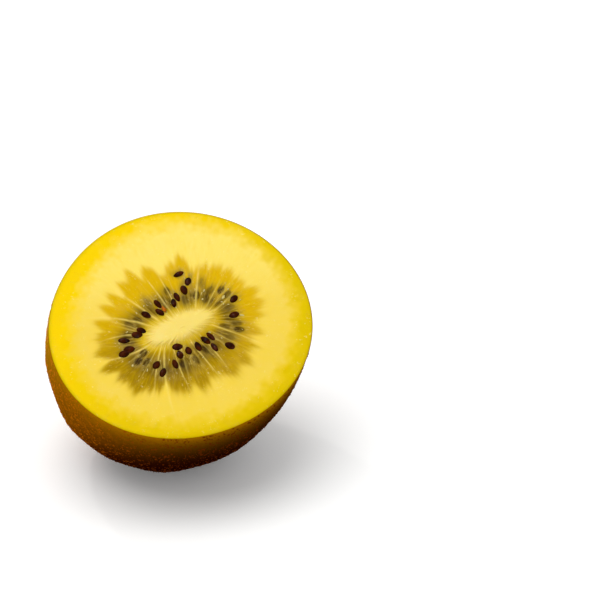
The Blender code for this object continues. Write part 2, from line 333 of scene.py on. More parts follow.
def skin_place(angle, slope, inset):
    """A point of the skin. Depth over length and radius over the cut's radius lie on a superellipse, the
    outline turns round and the axis shifts as the depth grows. Low lumps, 13 mm apart, leave the rim alone.
    Inset is a distance in from the skin's outside."""
    depth = np.sin(slope) ** (2 / FULLNESS)
    radius = (cut_radius(angle) * (1 - depth) + CUT_RADIUS * depth) * np.cos(slope)
    radius = radius * (1 - inset / CUT_RADIUS)
    x = radius * np.cos(angle) + STEM_SHIFT_X * depth
    y = radius * np.sin(angle) + STEM_SHIFT_Y * depth
    scar = scar_relief(CUT_RADIUS * np.cos(slope))
    z = scar - RIM_DROP * (1 - depth) - (HALF_LENGTH - inset) * depth
    points = np.stack(np.broadcast_arrays(x, y, z), axis=-1)
    lump = LUMP_HEIGHT * waves(points, LUMP_WAVE, 3) * np.minimum(slope / 0.25, 1)
    away = points - np.array((0, 0, -0.3 * HALF_LENGTH))
    return points + away / np.linalg.norm(away, axis=-1, keepdims=True) * lump[..., None]


def lean(points):
    """Turn points about X by the slope at which the half lies."""
    x, y, z = points[..., 0], points[..., 1], points[..., 2]
    cos, sin = math.cos(LEAN), math.sin(LEAN)
    return np.stack((x, y * cos - z * sin, y * sin + z * cos), axis=-1)


def solid_shift():
    """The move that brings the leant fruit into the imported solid's box: sides centred, tops level."""
    angle = np.linspace(0, FULL_TURN, 180)[None, :]
    slope = np.linspace(0, math.pi / 2 - 0.01, 90)[:, None]
    points = lean(skin_place(angle, slope, 0.0)).reshape(-1, 3)
    low, high = points.min(axis=0), points.max(axis=0)
    solid_low, solid_high = (np.array(corner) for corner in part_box(NODE))
    shift = (solid_low + solid_high - low - high) / 2
    shift[2] = solid_high[2] - high[2]
    return shift


SHIFT = solid_shift()


def settle(points, floor=None):
    """Points in the fruit's axes brought to the frame, and pressed flat where they would pass below a
    floor."""
    placed = lean(points) + SHIFT
    if floor is not None:
        placed[..., 2] = np.maximum(placed[..., 2], floor)
    return placed


def ring_faces(rings, sides):
    """Faces of a closed skin of rings: a fan, bands of quads and a fan. Vertices are the first pole, the
    rings and the last pole."""
    here = np.arange(sides)
    ahead = (here + 1) % sides
    first = np.stack((np.zeros(sides, int), here + 1, ahead + 1), axis=1)
    base = (np.arange(rings - 1) * sides + 1)[:, None]
    quads = np.stack((base + here, base + sides + here, base + sides + ahead, base + ahead), axis=-1)
    end = 1 + (rings - 1) * sides
    last = np.stack((here + end, np.full(sides, end + sides), ahead + end), axis=1)
    return first.tolist() + quads.reshape(-1, 4).tolist() + last.tolist()


def repeat_faces(faces, vertices, count):
    """The faces of many like shapes whose vertices follow each other."""
    return [tuple(corner + k * vertices for corner in face) for k in range(count) for face in faces]


def add_piece(name, points, faces, material, fields=None):
    """A smooth mesh object that rides on the fruit, with one value a vertex for each named field."""
    mesh = bpy.data.meshes.new(name)
    mesh.from_pydata(np.asarray(points).reshape(-1, 3).tolist(), [], faces)
    for field, values in (fields or {}).items():
        values = np.asarray(values, dtype=np.float32)
        kind = "FLOAT_VECTOR" if values.ndim == 2 else "FLOAT"
        layer = mesh.attributes.new(field, kind, "POINT")
        layer.data.foreach_set("vector" if values.ndim == 2 else "value", values.ravel())
    mesh.materials.append(material)
    mesh.shade_smooth()
    mesh.update()
    piece = bpy.data.objects.new(name, mesh)
    bpy.context.scene.collection.objects.link(piece)
    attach(piece, "root")
    return piece


def add_node(tree, kind, values=None, links=None, stops=None, **settings):
    """Add one node: settings are its options, values fill sockets, links join sockets and stops fill a
    ramp."""
    node = tree.nodes.new(kind)
    for name, value in settings.items():
        setattr(node, name, value)
    for socket, value in (values or {}).items():
        node.inputs[socket].default_value = value
    for socket, source in (links or {}).items():
        tree.links.new(source, node.inputs[socket])
    if stops:
        elements = node.color_ramp.elements
        while len(elements) < len(stops):
            elements.new(0.5)
        for element, (position, value) in zip(elements, stops):
            element.position = position
            element.color = value
    return node


def new_material(name, **shader_values):
    """A material with a Principled shader, whose own sockets take the given values."""
    material = bpy.data.materials.new(name)
    material.use_nodes = True
    shader = material.node_tree.nodes["Principled BSDF"]
    for socket, value in shader_values.items():
        shader.inputs[socket.replace("_", " ")].default_value = value
    return material, material.node_tree, shader


def opaque(rgb):
    """A colour with full alpha."""
    return (*rgb, 1.0)


def seed_rows(draw):
    """Turn and share of both rows of seeds: one a chamber, at the row's own share, both with a spread."""
    chamber = np.arange(CHAMBERS) + 0.5

    def row(middle, spread):
        """Turn and share of one row, each drawn round its own middle."""
        turn = (chamber + draw.uniform(-SEED_SPREAD, SEED_SPREAD, CHAMBERS)) * (FULL_TURN / CHAMBERS)
        off = draw.standard_normal(CHAMBERS).clip(-SPREAD_LIMIT, SPREAD_LIMIT)
        return turn, middle + spread * off

    return row(OUTER_ROW, OUTER_ROW_SPREAD), row(INNER_ROW, INNER_ROW_SPREAD)


def seed_places():
    """Turn, share and turn off the ray of the seeds that show and of those that are sunk in the flesh."""
    draw = np.random.default_rng(SEED_DRAW)
    (outer_turn, outer_share), (inner_turn, inner_share) = seed_rows(draw)
    chance = INNER_ROW_SHARE * np.abs(np.sin(inner_turn)) ** 1.5
    kept = np.concatenate((np.ones(CHAMBERS, bool), draw.uniform(0, 1, CHAMBERS) < chance))
    shown = draw.uniform(0, 1, 2 * CHAMBERS) >= SUNK_SHARE
    tilt = np.radians(draw.uniform(-14, 14, 2 * CHAMBERS))
    turn = np.concatenate((outer_turn, inner_turn))
    share = np.concatenate((outer_share, inner_share))
    places = np.stack((turn, share, tilt), axis=1)
    dragged = np.array([(math.radians(a), s, math.radians(b)) for a, s, b in DRAGGED_SEEDS])
    return np.concatenate((places[shown & kept], dragged)), places[~shown & kept]


def seed_axes(places):
    """Middle and pointed direction of each seed in the cut: the point looks to the core, off the ray by a
    tilt."""
    x, y = face_place(places[:, 0], places[:, 1])
    out_x, out_y = face_place(places[:, 0], places[:, 1] + 0.01)
    angle = np.arctan2(y - out_y, x - out_x) + places[:, 2]
    return np.stack((x, y), axis=1), np.stack((np.cos(angle), np.sin(angle)), axis=1)


def star_edge(turn):
    """Share at which the star ends: round lobes, each of its own reach and width, and between them the
    valley, all a little uneven, longer to one side and clearer to another. Long strands part the lobes."""
    draw = np.random.default_rng(STAR_DRAW)
    pitch = FULL_TURN / STAR_LOBES
    middle = (np.arange(STAR_LOBES) + draw.uniform(-0.25, 0.25, STAR_LOBES)) * pitch
    reach = STAR_REACH + STAR_REACH_SPREAD * draw.standard_normal(STAR_LOBES).clip(-1.8, 1.8)
    width = pitch * draw.uniform(0.42, 0.64, STAR_LOBES)
    off = np.minimum(np.abs(turned_off(turn[..., None], middle)) / width, 1)
    lobes = (reach - STAR_VALLEY) * (1 - off**2)
    uneven = 0.011 * round_waves(turn, 30, 80, 5) + 0.012 * round_waves(turn, 2, 7, 6)
    clear = 0.87 + 0.23 * np.cos(turn - STAR_CLEAR_TURN)
    edge = STAR_VALLEY + clear * lobes.max(axis=-1) + uneven + STAR_LONG * np.cos(turn - STAR_LONG_TURN)
    for strand, end, breadth, bend in LONG_STRANDS:
        near = turned_off(turn, math.radians(strand + bend * STAR_VALLEY)) / STAR_WEDGE_SPREAD
        edge = edge - (end > STAR_VALLEY) * STAR_WEDGE * breadth * np.exp(-(near**2))
    return edge


def core_gap(turn, share):
    """Distance out from the core's edge, below 0 inside it."""
    reach = CORE_LONG * CORE_SHORT / np.hypot(CORE_SHORT * np.cos(turn), CORE_LONG * np.sin(turn))
    return share * np.where(share < 0, reach, CUT_RADIUS - reach)


def strand_places(count):
    """Turn, start, end, width, bend and strength of the pale strands: faint ones spread evenly round the
    core with a draw each, then the long ones."""
    draw = np.random.default_rng(21)
    turn = (np.arange(count) + draw.uniform(-0.4, 0.4, count)) * (FULL_TURN / count)
    faint = np.stack((
        turn, draw.uniform(0.0, 0.06, count), draw.uniform(0.16, 0.48, count), draw.uniform(0.5, 1.1, count),
        draw.normal(0, 0.1, count), draw.uniform(0.1, 0.45, count),
    ), axis=1)
    long = np.array(LONG_STRANDS)
    same = np.ones(len(long))
    strong = np.stack((
        np.radians(long[:, 0]), 0.02 * same, long[:, 1], long[:, 2], np.radians(long[:, 3]), 0.8 * same,
    ), axis=1)
    return np.concatenate((faint, strong))


def strand_field(turn, share, cut):
    """How much of a pale strand each point of the cut has: the strongest of bell curves across them."""
    near = np.hypot(CORE_LONG * np.sin(turn), CORE_SHORT * np.cos(turn))
    stretch = near + (cut_radius(turn + CORE_TURN) - near) * np.maximum(share, 0)
    field = np.zeros_like(stretch)
    for middle, start, end, width, bend, strength in strand_places(cut.rays):
        off = turned_off(turn, middle + bend * share) * stretch
        line = np.exp(-((off / (0.6 * cut.strand * width)) ** 2))
        line *= soft_step(share - start, 0.015) * soft_step(end - share, 0.1)
        field = np.maximum(field, strength * line)
    return field


def seed_field(turn, share, places, grow, soft, strengths=None):
    """How far inside any of the seeds at the given places each point of the cut is, with a soft edge.
    Strengths are one a seed, and 1 where there are none."""
    x, y = face_place(turn, share)
    field = np.zeros_like(x)
    strengths = np.ones(len(places)) if strengths is None else strengths
    for (middle_x, middle_y), (way_x, way_y), strength in zip(*seed_axes(places), strengths):
        along = ((x - middle_x) * way_x + (y - middle_y) * way_y) / (SEED_LONG / 2 * grow)
        across = ((y - middle_y) * way_x - (x - middle_x) * way_y) / (SEED_WIDE / 2 * grow)
        field = np.maximum(field, strength * soft_step(1 - np.hypot(along, across), soft))
    return field


def star_field(turn, share):
    """How much of the star each point has: a soft step at its edge, with fine streaks, blurred a little
    round the core."""
    fine = STAR_FINE * round_waves(turn, 60, 160, 14)
    soft = STAR_SOFT * (1.25 - 0.35 * np.cos(turn - STAR_CLEAR_TURN))
    blur = np.linspace(-STAR_BLUR, STAR_BLUR, 5)
    return sum(soft_step(star_edge(turn + off) + fine - share, soft) for off in blur) / len(blur)


def gel_field(turn, share, slow):
    """How much gel each point has: a bell curve over share, further out to one side and uneven round the
    core."""
    middle = GEL_SHARE + 0.02 * slow + GEL_SHIFT * np.cos(turn - STAR_LONG_TURN)
    uneven = 1.0 + 0.16 * round_waves(turn, 10, 36, 12)
    return (np.exp(-(((share - middle) / GEL_SPREAD) ** 2)) * uneven).clip(0, 1)


def rim_field(turn, share):
    """How much of the saturated rim each point has: a ramp whose middle waves once and twice round the cut
    and is uneven every few millimetres."""
    flat = np.stack(face_place(turn, share), axis=-1)
    middle = RIM_START + RIM_WAVE * (np.cos(turn + 0.26) + np.cos(2 * turn - 2.13))
    middle += 0.016 * waves(flat, 4 * MM, 51) + 0.01 * waves(flat, 1.6 * MM, 52)
    return ((share - middle) / RIM_SPREAD + 0.5).clip(0, 1)


def face_fields(turn, share, cut):
    """What each point of the cut is, mostly from 0 to 1. Core, moat and bristle go by the distance from the
    core's edge, and film, sunk and pocket by the seeds. Low, aside and the rim's shade side are painted
    shade: the sides of the star, of the outer flesh and of the rim away from the light."""
    x, y = face_place(turn, share)
    gap = core_gap(turn, share) - CORE_SWELL * np.cos(turn - CORE_SWELL_TURN)
    slow = round_waves(turn, 3, 9, 13)
    bristle = 0.6 * soft_step(round_waves(turn, 70, 130, 9) - 0.6, 0.35)
    shown, hidden = seed_places()
    veil = np.random.default_rng(15).uniform(0.3, 1.05, len(hidden))
    return {
        "star": star_field(turn, share),
        "core": soft_step(0.14 * MM * round_waves(turn, 12, 50, 8) - 0.1 * MM - gap, CORE_BLUR),
        "bristle": bristle * soft_step((0.9 + 0.5 * slow) * MM - gap, 0.4 * MM),
        "ray": strand_field(turn, share, cut),
        "gel": gel_field(turn, share, slow),
        "moat": (0.52 - 0.32 * np.cos(turn)) * np.exp(-(((gap - MOAT_GAP) / MOAT_SPREAD) ** 2)),
        "film": seed_field(turn, share, np.concatenate((shown, hidden)), 1.6, 0.45),
        "sunk": seed_field(turn, share, hidden, 0.95, 0.17, veil),
        "pocket": seed_field(turn, share, shown, 1.18, 0.3),
        "rim": rim_field(turn, share),
        "edge": soft_step(share - 0.978, 0.015),
        # The next three are painted shade: the low side of the cut, the rim's side away from the light, and
        # all but the top side.
        "low": soft_step(-y - 2 * MM, 6 * MM) * (0.6 + 0.4 * np.cos(turn - STAR_LONG_TURN)),
        "dim": soft_step(x - y, 18 * MM),
        "aside": soft_step(8 * MM - y, 6 * MM),
    }


def face_relief(turn, share, fields):
    """Height of the cut: raised core, sunken star, strands standing up, pockets round seeds, a fine radial
    grain and broad soft waves, and a rim that rounds off."""
    x, y = face_place(turn, share)
    flat = np.stack((x, y), axis=-1)
    inside = 1 - fields["core"]
    sunken = soft_step(0.36 - share, 0.12) * inside
    height = CORE_RISE * 0.6 * fields["core"] - STAR_SINK * 0.8 * sunken
    height += 0.035 * MM * fields["ray"] - POCKET_DEPTH * fields["pocket"] + 0.07 * MM * fields["sunk"]
    height += 0.014 * MM * fields["star"] * inside * round_waves(turn, 40, 150, 31)
    height += 0.035 * MM * waves(flat, 9 * MM, 33) + 0.004 * MM * waves(flat, 1.3 * MM, 34)
    over_rim = np.maximum(share - RIM_SHARE, 0) / (1 - RIM_SHARE)
    return height * (1 - over_rim) - RIM_DROP * over_rim**2


def grain(tree, coordinates, size, detail, low, high, weak=0.0, strong=1.0):
    """An uneven share from a noise whose grains have a size in millimetres: weak where the noise is at its
    low value and strong at its high one."""
    values = {"Scale": 1 / (size * MM), "Detail": detail}
    noise = add_node(tree, "ShaderNodeTexNoise", values, {"Vector": coordinates})
    limits = {"From Min": low, "From Max": high, "To Min": weak, "To Max": strong}
    return add_node(tree, "ShaderNodeMapRange", limits, {"Value": noise.outputs["Fac"]}).outputs["Result"]


def lay_over(tree, under, over, *shares):
    """Lay a colour over a colour or a colour socket, as strongly as the product of the shares."""
    share = shares[0]
    for other in shares[1:]:
        share = add_node(tree, "ShaderNodeMath", {}, {0: share, 1: other}, operation="MULTIPLY").outputs[0]
    values, links = {7: opaque(over)}, {0: share}
    if isinstance(under, tuple):
        values[6] = under
    else:
        links[6] = under
    return add_node(tree, "ShaderNodeMix", values, links, data_type="RGBA").outputs[2]


def paint(tree, shader, colour_below, layers):
    """Paint a shader: a colour below, and over it each layer's colour by the layer's shares."""
    base = opaque(colour_below)
    for over, *shares in layers:
        base = lay_over(tree, base, over, *shares)
    tree.links.new(base, shader.inputs["Base Color"])


def flesh_material(cut):
    """Ripe kiwi flesh, cut with a knife and wet. Light goes in and spreads, so it glows softly and its edges
    are never hard. The coat is a thin uneven film of juice that gives small sharp glints, and the flesh's own
    shine is nearly off, because the film covers it."""
    material, tree, shader = new_material(
        "wet_kiwi_flesh", Roughness=0.35, IOR=1.36, Specular_IOR_Level=0.03, Subsurface_Weight=0.4,
        Subsurface_Scale=0.5 * MM, Subsurface_Radius=(1.0, 0.7, 0.15), Coat_Roughness=0.04,
    )
    place = add_node(tree, "ShaderNodeTexCoord").outputs["Object"]
    paint_flesh(tree, shader, place, cut)
    add_juice(tree, shader, place)
    return material


def paint_flesh(tree, shader, place, cut):
    """Paint each zone of the cut over the pale outer flesh, with mottling and streaks of its own, painted
    shade on the sides away from the light, and flecks of painted glint.
    """
    names = (
        "star", "core", "moat", "bristle", "ray", "gel", "film", "sunk", "rim", "edge", "low", "dim", "aside",
    )
    fields = {
        name: add_node(tree, "ShaderNodeAttribute", attribute_name=name).outputs["Fac"] for name in names
    }
    round_core = add_node(tree, "ShaderNodeAttribute", attribute_name="round_core").outputs["Vector"]

    # Patterns on place have the same size everywhere. Those on round_core follow the rays, so they are
    # streaks, and their size is their width at the ring of seeds. Cells of kiwi flesh are 0.1 to 0.8 mm
    # across, which gives the sizes of the flecks and of the cells in the bump.
    mottle = grain(tree, place, 3.85, 3, 0.35, 0.7, 0.12, 0.48)
    fibres = grain(tree, round_core, 0.308, 2, 0.3, 0.75)
    streaks = grain(tree, round_core, 0.235, 2, 0.42, 0.72, 0.0, 0.25)
    clouds = grain(tree, round_core, 0.727, 3, 0.3, 0.58, 0.6, 1.0)
    wisps = grain(tree, round_core, 0.333, 4, 0.5, 0.68, 0.0, 0.7)
    smears = grain(tree, round_core, 0.47, 3, 0.4, 0.65, 0.1, 0.85)
    torn = grain(tree, round_core, 0.129, 2, 0.3, 0.6, 0.45, 1.0)
    broken = grain(tree, place, 2.0, 2, 0.3, 0.6, 0.35, 0.85)
    glint_flecks = grain(tree, place, 0.526, 2, 0.62, 0.76, 0.0, 0.4)
    patches = grain(tree, place, 2.38, 2, 0.48, 0.6)
    dashes = grain(tree, round_core, 0.133, 2, 0.58, 0.72, 0.0, 0.5)
    paint(tree, shader, cut.flesh, (
        # Painted shade on all but the top of the outer flesh.
        (cut.flesh_painted_shade, fields["aside"]),
        (cut.flesh_mottle_and_shade, mottle, fibres),
        # Painted shade on the low side of the outer flesh, broken up by the mottling.
        (cut.flesh_mottle_and_shade, fields["low"], mottle),
        (cut.rim, fields["rim"]),
        # Painted shade on the rim's side away from the light.
        (cut.rim_painted_shade, fields["rim"], fields["dim"]),
        (cut.rim_green, fields["edge"]),
        (cut.star, fields["star"]),
        # Painted shade on the low side of the star.
        (cut.star_painted_shade, fields["star"], fields["low"]),
        (cut.star_pale, fields["star"], streaks),
        (cut.gel, fields["gel"], clouds),
        (cut.wisp, fields["gel"], wisps),
        (cut.ray, fields["star"], dashes, patches),
        (cut.film, fields["film"], smears),
        (cut.wisp, fields["film"], smears, patches),
        (cut.moat, fields["moat"]),
        (cut.sunk, fields["sunk"], torn),
        (cut.ray, fields["ray"], broken),
        (cut.core, fields["bristle"], broken),
        (cut.core, fields["core"]),
        (cut.flesh_mottle_and_shade, fields["core"], mottle),
        # Painted glints: pale flecks that catch the light.
        (cut.fleck_glint, glint_flecks, patches),
    ))


def add_juice(tree, shader, place):
    """Roughen the flesh with its cells, and lay the film of juice over them in patches and ripples."""
    cells = add_node(tree, "ShaderNodeTexVoronoi", {"Scale": 1 / (0.303 * MM)}, {"Vector": place})
    depth = {"Strength": 0.25, "Distance": 0.04 * MM}
    bump = add_node(tree, "ShaderNodeBump", depth, {"Height": cells.outputs["Distance"]})
    tree.links.new(bump.outputs["Normal"], shader.inputs["Normal"])
    juice = grain(tree, place, 2.86, 2, 0.52, 0.66, 0.0, 0.2)
    tree.links.new(juice, shader.inputs["Coat Weight"])
    ripples = grain(tree, place, 0.417, 2, 0.3, 0.7)
    depth = {"Strength": 1.0, "Distance": 0.12 * MM}
    bump = add_node(tree, "ShaderNodeBump", depth, {"Height": ripples})
    tree.links.new(bump.outputs["Normal"], shader.inputs["Coat Normal"])


def add_flesh(cut, skin):
    """The whole flesh as one closed body: rings from the middle of the core to the rim, closest over the
    star, then down inside the skin to the stem end, where they draw in to clear the scar."""
    sides = 600
    turn = np.arange(sides) * (FULL_TURN / sides)
    core, star, outer = np.linspace(-0.93, -0.06, 14), np.linspace(0, 0.62, 84), np.linspace(0.62, 1, 38)[1:]
    turns, shares = np.broadcast_arrays(turn, np.concatenate((core, star, outer))[:, None])
    fields = face_fields(turns, shares, cut)
    face = np.stack((*face_place(turns, shares), face_relief(turns, shares, fields)), axis=-1)
    inset = skin.thickness + FLESH_GAP
    face[..., :2] *= (1 - inset / CUT_RADIUS * soft_step(shares - 0.99, 0.004))[..., None]
    slope = np.linspace(0.03, math.pi / 2 - 0.05, 14)[:, None]
    wall = skin_place(turn[None, :] + CORE_TURN, slope, inset + 2.5 * MM * soft_step(slope - 1.2, 0.08))
    top = (0, -CORE_DROP, CORE_RISE)
    end = (STEM_SHIFT_X, STEM_SHIFT_Y, wall[-1, 0, 2])
    points = np.concatenate(((top,), face.reshape(-1, 3), wall.reshape(-1, 3), (end,)))

    # Below the face all is plain rim, and the first point is in the core
    below = len(wall) * sides + 1
    values = {
        name: np.concatenate(((name == "core",), field.ravel(), np.full(below, name == "rim")))
        for name, field in fields.items()
    }
    round_core = SEED_RING * np.stack((np.cos(turns), np.sin(turns), 0.35 * shares), axis=-1)
    middle = (0, 0, -0.3 * SEED_RING)
    values["round_core"] = np.concatenate(((middle,), round_core.reshape(-1, 3), np.zeros((below, 3))))
    faces = ring_faces(len(face) + len(wall), sides)
    piece = add_piece("flesh", settle(points, inset), faces, flesh_material(cut), values)
    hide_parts(NODE)


def seed_material(cut):
    """Hard seed coat, wet: nearly black brown, redder in patches, with a sharp shine where juice lies on it.
    Its net of pits is drawn coarser than the real one, or it wouldn't show."""
    material, tree, shader = new_material(
        "wet_seed_coat", Roughness=0.4, IOR=1.45, Specular_IOR_Level=0.03, Coat_Roughness=0.12,
    )
    place = add_node(tree, "ShaderNodeTexCoord").outputs["Object"]
    tint = add_node(tree, "ShaderNodeTexNoise", {"Scale": 1 / (1.43 * MM), "Detail": 2}, {"Vector": place})
    ramp = add_node(
        tree, "ShaderNodeValToRGB", links={"Fac": tint.outputs["Fac"]},
        stops=((0.35, opaque(cut.seed)), (0.7, opaque(cut.seed_warm))),
    )
    tree.links.new(ramp.outputs["Color"], shader.inputs["Base Color"])
    tree.links.new(grain(tree, place, 0.667, 2, 0.54, 0.68, 0.0, 0.35), shader.inputs["Coat Weight"])
    pits = add_node(tree, "ShaderNodeTexVoronoi", {"Scale": 1 / (0.192 * MM)}, {"Vector": place})
    depth = {"Strength": 0.4, "Distance": 0.03 * MM}
    bump = add_node(tree, "ShaderNodeBump", depth, {"Height": pits.outputs["Distance"]})
    tree.links.new(bump.outputs["Normal"], shader.inputs["Normal"])
    return material


def pointed_ball(rings, sides, point):
    """A closed ball of unit length along X, drawn to a blunt point at its far end. Its faces come with it."""
    along = np.linspace(0, math.pi, rings + 2)[1:-1, None]
    around = np.arange(sides) * (FULL_TURN / sides)
    wide = np.sin(along) * (1 - point * np.maximum(np.cos(along), 0))
    ball = np.stack((np.cos(along) + 0 * around, wide * np.cos(around), wide * np.sin(around)), axis=-1)
    ball = np.concatenate((((1, 0, 0),), ball.reshape(-1, 3), ((-1, 0, 0),))) / 2
    return ball, ring_faces(rings, sides)


def lay_down(shapes, middle, way, height):
    """Shapes laid on the cut, each turned so that its X looks along its own way."""
    x = middle[:, :1] + shapes[..., 0] * way[:, :1] - shapes[..., 1] * way[:, 1:]
    y = middle[:, 1:] + shapes[..., 0] * way[:, 1:] + shapes[..., 1] * way[:, :1]
    return settle(np.stack((x, y, height[:, None] + shapes[..., 2]), axis=-1))


def add_seeds(cut):
    """Each seed that shows: a flattened ball of its own size and width, drawn to a blunt point on the side
    of the core."""
    ball, faces = pointed_ball(11, 18, SEED_POINT)
    shown, _ = seed_places()
    middle, way = seed_axes(shown)
    count = len(shown)
    draw = np.random.default_rng(61)
    grow = draw.uniform(0.88, 1.06, (count, 1, 1)) * draw.uniform((1, 0.74, 1), (1, 1.2, 1), (count, 1, 3))
    shapes = ball * (SEED_LONG, SEED_WIDE, SEED_THICK) * grow
    fields = face_fields(shown[:, 0], shown[:, 1], cut)
    height = face_relief(shown[:, 0], shown[:, 1], fields) + POCKET_DEPTH * fields["pocket"]
    height += SEED_PROUD - SEED_THICK / 2
    points = lay_down(shapes, middle, way, height)
    add_piece("seeds", points, repeat_faces(faces, len(ball), count), seed_material(cut))


def torn_flesh_material(cut):
    """Torn flesh, wet and thin: light passes through it, so that it looks paler than what it lies on."""
    material, _, _ = new_material(
        "torn_kiwi_flesh", Base_Color=opaque(cut.bit), Roughness=0.35, IOR=1.36, Specular_IOR_Level=0.15,
        Subsurface_Weight=0.6, Subsurface_Scale=0.4 * MM, Subsurface_Radius=(1, 0.8, 0.4),
    )
    return material


def torn_coat_material(cut):
    """Torn seed coat, seen from its rust-red inside: dull, with little shine."""
    material, _, _ = new_material(
        "torn_seed_coat", Base_Color=opaque(cut.scrap), Roughness=0.5, Specular_IOR_Level=0.1,
    )
    return material


def add_flesh_bits(cut):
    """Small pale bits of torn flesh among the seeds: flattened balls that lie roughly along the rays."""
    ball, faces = pointed_ball(5, 8, 0.3)
    draw = np.random.default_rng(43)
    turn = draw.uniform(0, FULL_TURN, cut.bits)
    places = np.stack((turn, draw.uniform(*BIT_SHARES, cut.bits), draw.normal(0, 0.4, cut.bits)), axis=1)
    middle, way = seed_axes(places)
    size = draw.lognormal(0, 0.4, (cut.bits, 1, 1)).clip(0.4, 2) * draw.uniform(0.6, 1.4, (cut.bits, 1, 3))
    fields = face_fields(places[:, 0], places[:, 1], cut)
    height = face_relief(places[:, 0], places[:, 1], fields)
    points = lay_down(ball * BIT_SIZE * size, middle, way, height)
    faces = repeat_faces(faces, len(ball), cut.bits)
    add_piece("flesh_bits", points, faces, torn_flesh_material(cut))


def add_seed_scrap(cut):
    """One lumpy scrap of torn seed coat: a flattened ball with waves half as long as itself."""
    ball, faces = pointed_ball(5, 8, 0.3)
    lump = ball * SCRAP_SIZE * (1 + 0.25 * waves(ball, 0.5, 44)[:, None])
    way = np.array(((math.cos(SCRAP_TURN), math.sin(SCRAP_TURN)),))
    points = lay_down(lump[None], np.array(((SCRAP_X, SCRAP_Y),)), way, np.array((-0.1 * MM,)))
    add_piece("seed_scrap", points, faces, torn_coat_material(cut))


def skin_material(skin):
    """Thin dry kiwi skin: olive gold with a faint shine. On the side that lies down it has no shine, and
    painted shade makes it browner there, darkest deep in that side and umber low in front. A painted glow
    next to the cut stands for the flesh shining through. Fine cork specks roughen it."""
    material, tree, shader = new_material("thin_kiwi_skin", Roughness=0.5, IOR=1.45)
    place = add_node(tree, "ShaderNodeTexCoord").outputs["Object"]
    names = ("brown", "shade", "under", "by_rim", "scar")
    fields = {
        name: add_node(tree, "ShaderNodeAttribute", attribute_name=name).outputs["Fac"] for name in names
    }
    patches = grain(tree, place, 11.1, 4, 0.35, 0.7, 0.0, 0.8)
    specks = grain(tree, place, 0.385, 3, 0.48, 0.68, 0.0, 0.55)
    blotches = grain(tree, place, 1.0, 3, 0.45, 0.68, 0.0, 0.5)
    paint(tree, shader, skin.gold, (
        (skin.olive, patches),
        (skin.dot, specks),
        # Painted glow next to the cut, for the flesh shining through the gold skin.
        (skin.painted_glow, fields["by_rim"]),
        # Painted shade: brown with darker blotches on the side that lies down, umber low in front, darkest
        # deep in that side.
        (skin.brown, fields["brown"]),
        (skin.dot_painted_brown, fields["brown"], blotches),
        (skin.umber_shade, fields["under"]),
        (skin.shade, fields["shade"]),
        # Painted glow next to the cut on the brown side.
        (skin.by_rim, fields["by_rim"], fields["brown"]),
        (skin.felt, fields["scar"]),
    ))
    limits = {"From Max": 0.5, "To Min": 0.3, "To Max": 0}
    shine = add_node(tree, "ShaderNodeMapRange", limits, {"Value": fields["brown"]})
    tree.links.new(shine.outputs["Result"], shader.inputs["Specular IOR Level"])
    depth = {"Strength": 0.7, "Distance": 0.08 * MM}
    bump = add_node(tree, "ShaderNodeBump", depth, {"Height": specks})
    tree.links.new(bump.outputs["Normal"], shader.inputs["Normal"])
    return material


def shade_fields(points):
    """Painted shade: how brown the skin is painted and how dark, as soft steps in the cosine between the
    shaded way and the way from a middle on the axis to the point."""
    away = points - settle(np.array((0, 0, SHADE_MIDDLE)))
    toward_shade = away @ SHADE_WAY / np.linalg.norm(away, axis=-1)
    brown = soft_step(toward_shade - PAINTED_BROWN_START, PAINTED_BROWN_BLUR)
    return brown, soft_step(toward_shade - PAINTED_DARK_START, PAINTED_DARK_BLUR)


def add_skin(skin):
    """The skin as a thin closed shell: up inside it from the stem to the rim, over its edge and down outside.
    Its outside has the closest rings where the dimple and the scar are."""
    sides = 360
    angle = np.arange(sides) * (FULL_TURN / sides) + CORE_TURN
    inner_slope = np.append(np.linspace(math.pi / 2 - 0.05, 0.03, 30), (0.003, 0.0))[:, None]
    outer_slope = np.concatenate((
        (0.0, 0.0015), np.linspace(0.008, 1.2, 110), math.pi / 2 - np.linspace(0.37, 0.012, 60),
    ))[:, None]
    inner = skin_place(angle[None, :], inner_slope, skin.thickness)
    outer = skin_place(angle[None, :], outer_slope, 0.0)
    inner_pole = (STEM_SHIFT_X, STEM_SHIFT_Y, inner[0, :, 2].mean())
    outer_pole = (STEM_SHIFT_X, STEM_SHIFT_Y, outer[-1, :, 2].mean())
    inner = settle(np.concatenate(((inner_pole,), inner.reshape(-1, 3))), skin.thickness)
    outer = settle(np.concatenate((outer.reshape(-1, 3), (outer_pole,))), 0.0)
    points = np.concatenate((inner, outer))
    slopes = np.concatenate((inner_slope, outer_slope)) * np.ones(sides)
    scar = soft_step(FELT_RING[1] - CUT_RADIUS * np.cos(slopes), 0.5 * MM)
    depth = np.sin(slopes) ** (2 / FULLNESS) * HALF_LENGTH
    # Painted glow on the skin next to the cut, fading with depth.
    by_rim = RIM_GLOW * np.exp(-depth / RIM_GLOW_DEPTH)
    # Painted shade: brown and dark by the way a point faces, and umber low down in front.
    brown, shade = shade_fields(points)
    low = soft_step(UMBER_SHADE_HEIGHT - points[:, 2], UMBER_SHADE_BLUR)
    fields = {
        "brown": brown,
        "shade": shade,
        "under": low * soft_step(-points[:, 1], UMBER_SHADE_SIDE_BLUR),
        "by_rim": np.concatenate(((0,), by_rim.ravel(), (0,))),
        "scar": np.concatenate(((scar[0, 0],), scar.ravel(), (scar[-1, 0],))),
    }
    add_piece("skin", points, ring_faces(len(slopes), sides), skin_material(skin), fields)


